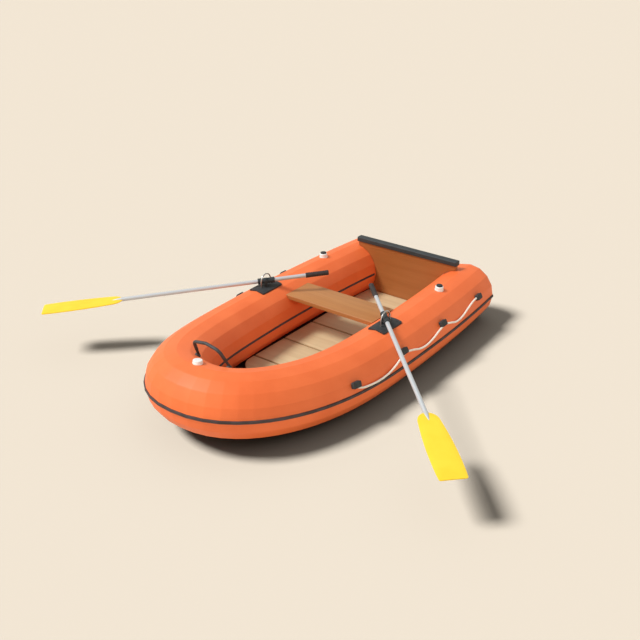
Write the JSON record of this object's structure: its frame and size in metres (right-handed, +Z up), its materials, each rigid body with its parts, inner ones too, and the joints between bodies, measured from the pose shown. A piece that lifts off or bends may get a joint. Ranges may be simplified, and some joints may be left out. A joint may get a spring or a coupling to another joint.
{
  "type": "inflatable rowing dinghy",
  "caption": "Open inflatable dinghy with a tube bent round the bow, slatted floor, thwart, wooden transom, lifelines and a pair of oars in hoop rowlocks.",
  "frame": {"origin": "on the ground, midway along and across the hull", "axes": "+X to the bow, +Y to port, +Z up"},
  "size_m": [2.4422, 2.9736, 0.5385],
  "materials": {
    "orange_pvc": "satin",
    "strake_rubber": "matte",
    "seam_tape": "matte",
    "floor_pvc": "matte",
    "slat_plywood": "matte",
    "stained_wood": "satin",
    "thwart_wood": "satin",
    "cap_plastic": "matte",
    "black_plastic": "matte",
    "hoop_steel": "satin",
    "oar_alloy": "satin",
    "grip_rubber": "matte",
    "blade_plastic": "satin",
    "valve_plastic": "satin",
    "rope_cream": "matte",
    "handle_rubber": "matte"
  },
  "bodies": {
    "hull": {"main_tube": "orange_pvc", "rub_strake": "strake_rubber", "seam_tape": "seam_tape", "floor_skin": "floor_pvc", "floor_slat_1": "slat_plywood", "floor_slat_2": "slat_plywood", "floor_slat_3": "slat_plywood", "floor_slat_4": "slat_plywood", "floor_slat_5": "slat_plywood", "transom": "stained_wood", "transom_cap": "cap_plastic", "thwart": "thwart_wood", "port_rowlock_pad": "black_plastic", "port_hoop": "hoop_steel", "starboard_rowlock_pad": "black_plastic", "starboard_hoop": "hoop_steel", "port_valve": "valve_plastic", "port_valve_cap": "black_plastic", "starboard_valve": "valve_plastic", "starboard_valve_cap": "black_plastic", "bow_valve": "valve_plastic", "port_rope_patches": "black_plastic", "starboard_rope_patches": "black_plastic", "port_lifeline": "rope_cream", "starboard_lifeline": "rope_cream", "bow_handle": "handle_rubber"},
    "port_yoke": {"port_yoke": "black_plastic"},
    "port_sleeve": {"port_sleeve": "black_plastic"},
    "port_oar": {"port_shaft": "oar_alloy", "port_stops": "black_plastic", "port_grip": "grip_rubber", "port_blade": "blade_plastic"},
    "starboard_yoke": {"starboard_yoke": "black_plastic"},
    "starboard_sleeve": {"starboard_sleeve": "black_plastic"},
    "starboard_oar": {"starboard_shaft": "oar_alloy", "starboard_stops": "black_plastic", "starboard_grip": "grip_rubber", "starboard_blade": "blade_plastic"}
  },
  "joints": [
    {"name": "port_oar_swing", "type": "hinge", "parent": "hull", "child": "port_yoke", "pos_m": [-0.07, 0.4487, 0.40623], "axis": [0, 0, -1], "range_deg": [-90, 6]},
    {"name": "port_oar_lift", "type": "hinge", "parent": "port_yoke", "child": "port_sleeve", "pos_m": [-0.07, 0.4487, 0.40623], "axis": [0.7193, -0.6947, 0], "range_deg": [-7, 13]},
    {"name": "port_oar_feather", "type": "hinge", "parent": "port_sleeve", "child": "port_oar", "pos_m": [-0.07, 0.4487, 0.40623], "axis": [0.692, 0.7166, -0.0872], "range_deg": [-90, 90]},
    {"name": "starboard_oar_swing", "type": "hinge", "parent": "hull", "child": "starboard_yoke", "pos_m": [-0.07, -0.4487, 0.40623], "axis": [0, 0, 1], "range_deg": [-90, 6]},
    {"name": "starboard_oar_lift", "type": "hinge", "parent": "starboard_yoke", "child": "starboard_sleeve", "pos_m": [-0.07, -0.4487, 0.40623], "axis": [-0.7193, -0.6947, 0], "range_deg": [-7, 13]},
    {"name": "starboard_oar_feather", "type": "hinge", "parent": "starboard_sleeve", "child": "starboard_oar", "pos_m": [-0.07, -0.4487, 0.40623], "axis": [0.692, -0.7166, -0.0872], "range_deg": [-90, 90]}
  ]
}
